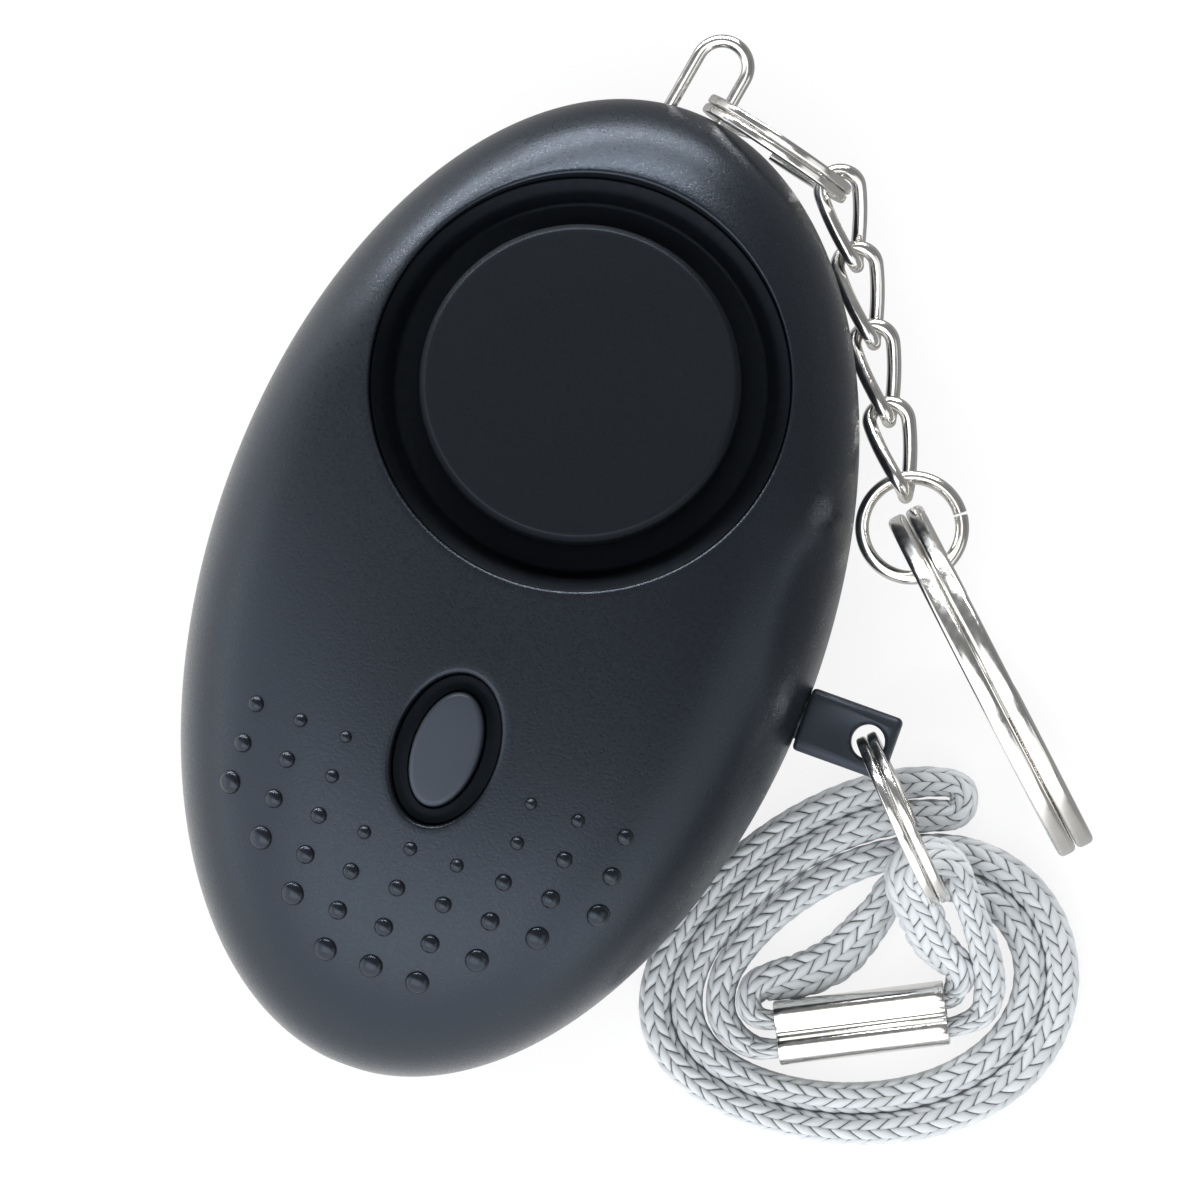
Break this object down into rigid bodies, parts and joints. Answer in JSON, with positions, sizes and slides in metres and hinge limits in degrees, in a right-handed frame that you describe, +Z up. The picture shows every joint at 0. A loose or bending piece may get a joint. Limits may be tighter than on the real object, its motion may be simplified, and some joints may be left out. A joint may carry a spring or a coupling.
{
  "type": "personal safety alarm",
  "caption": "Egg-shaped personal alarm with a round speaker, a torch button, a pull pin on a wound wrist strap, and a short chain with a key ring.",
  "frame": {"origin": "middle of the flat back, on the surface the alarm lies on", "axes": "+X towards the pull pin, +Y along the body towards the bail, +Z up through the front face"},
  "size_m": [0.0593, 0.067, 0.0237],
  "materials": {
    "shell_plastic": "satin with a fine texture",
    "grille_plastic": "gloss black",
    "cap_plastic": "satin",
    "button_plastic": "satin",
    "seal_rubber": "matt",
    "inner_plastic": "plain moulded",
    "plunger_plastic": "plain moulded",
    "chip_resin": "moulded resin",
    "brass_sheet": "bright sheet",
    "ceramic": "fired ceramic with a silvered face",
    "wire_red": "insulation",
    "wire_black": "insulation",
    "screw_steel": "zinc plated",
    "clear_plastic": "clear moulded",
    "board_laminate": "green solder mask",
    "ferrite": "ferrite with copper winding",
    "component_ceramic": "chip parts",
    "cell_steel": "nickel-plated can",
    "pin_plastic": "satin black",
    "nickel_plate": "nickel plated, polished",
    "strap_braid": "flat braid"
  },
  "bodies": {
    "case": {"front_shell": "shell_plastic", "rear_shell": "shell_plastic", "shell_screws": "screw_steel", "speaker_ring": "grille_plastic", "speaker_cap": "cap_plastic", "sounder_cup": "inner_plastic", "sounder_plate": "brass_sheet", "sounder_ceramic": "ceramic", "sounder_wire_red": "wire_red", "sounder_wire_black": "wire_black", "button_seal": "seal_rubber", "switch_body": "inner_plastic", "torch_led": "clear_plastic", "torch_lens": "clear_plastic", "circuit_board": "board_laminate", "board_screws": "screw_steel", "driver_chip": "chip_resin", "step_up_coil": "ferrite", "board_parts": "component_ceramic", "coin_cell_upper": "cell_steel", "coin_cell_lower": "cell_steel", "cell_spring": "brass_sheet", "cell_contact": "brass_sheet", "pin_guide": "inner_plastic", "fixed_contact": "brass_sheet", "bail": "nickel_plate"},
    "pin": {"pull_pin": "pin_plastic"},
    "strap": {"pin_ring": "nickel_plate", "strap_crimp": "nickel_plate", "wrist_strap": "strap_braid"},
    "button": {"torch_button": "button_plastic"},
    "plunger": {"switch_plunger": "plunger_plastic"},
    "contact": {"moving_contact": "brass_sheet"},
    "upper_ring": {"top_ring": "nickel_plate"},
    "link_1": {"chain_link_1": "nickel_plate"},
    "link_2": {"chain_link_2": "nickel_plate"},
    "link_3": {"chain_link_3": "nickel_plate"},
    "link_4": {"chain_link_4": "nickel_plate"},
    "joining_ring": {"jump_ring": "nickel_plate"},
    "keys_ring": {"key_ring": "nickel_plate"}
  },
  "joints": [
    {"name": "pin_pull", "type": "slide", "parent": "case", "child": "pin", "axis": [1, 0, 0], "range_m": [0, 0.0065]},
    {"name": "strap_swing", "type": "hinge", "parent": "pin", "child": "strap", "pos_m": [0.02326, -0.0016, 0.01], "axis": [0, 0, 1], "range_deg": [-6, 1]},
    {"name": "torch_press", "type": "slide", "parent": "case", "child": "button", "axis": [0, 0, -1], "range_m": [0, 0.0005], "stiffness_N_per_m": 400},
    {"name": "switch_press", "type": "slide", "parent": "case", "child": "plunger", "axis": [0, 0, -1], "range_m": [0, 0.0005]},
    {"name": "contact_close", "type": "hinge", "parent": "case", "child": "contact", "pos_m": [0.00676, -0.0001, 0.011], "axis": [0, 0, 1], "range_deg": [-18, 0]},
    {"name": "upper_ring_swing", "type": "hinge", "parent": "case", "child": "upper_ring", "pos_m": [0.00204, 0.03162, 0.01], "axis": [0, 0, 1], "range_deg": [0, 8]},
    {"name": "link_1_swing", "type": "hinge", "parent": "upper_ring", "child": "link_1", "pos_m": [0.01017, 0.0296, 0.0076], "axis": [0, 0, 1], "range_deg": [0, 8]},
    {"name": "link_2_swing", "type": "hinge", "parent": "link_1", "child": "link_2", "pos_m": [0.01229, 0.0262, 0.00641], "axis": [0, 0, 1], "range_deg": [0, 20]},
    {"name": "link_3_swing", "type": "hinge", "parent": "link_2", "child": "link_3", "pos_m": [0.01488, 0.02206, 0.00607], "axis": [0, 0, 1], "range_deg": [0, 20]},
    {"name": "link_4_swing", "type": "hinge", "parent": "link_3", "child": "link_4", "pos_m": [0.0174, 0.01786, 0.00641], "axis": [0, 0, 1], "range_deg": [0, 20]},
    {"name": "joining_ring_swing", "type": "hinge", "parent": "link_4", "child": "joining_ring", "pos_m": [0.01994, 0.0138, 0.00743], "axis": [0, 0, 1], "range_deg": [0, 20]},
    {"name": "keys_ring_swing", "type": "hinge", "parent": "joining_ring", "child": "keys_ring", "pos_m": [0.02208, 0.01091, 0.00743], "axis": [0, 0, 1], "range_deg": [0, 20]}
  ],
  "couplings": [
    {"joint": "switch_press", "follows": "torch_press", "ratio": 1},
    {"joint": "contact_close", "follows": "pin_pull", "rad_per_m": -48.332}
  ]
}
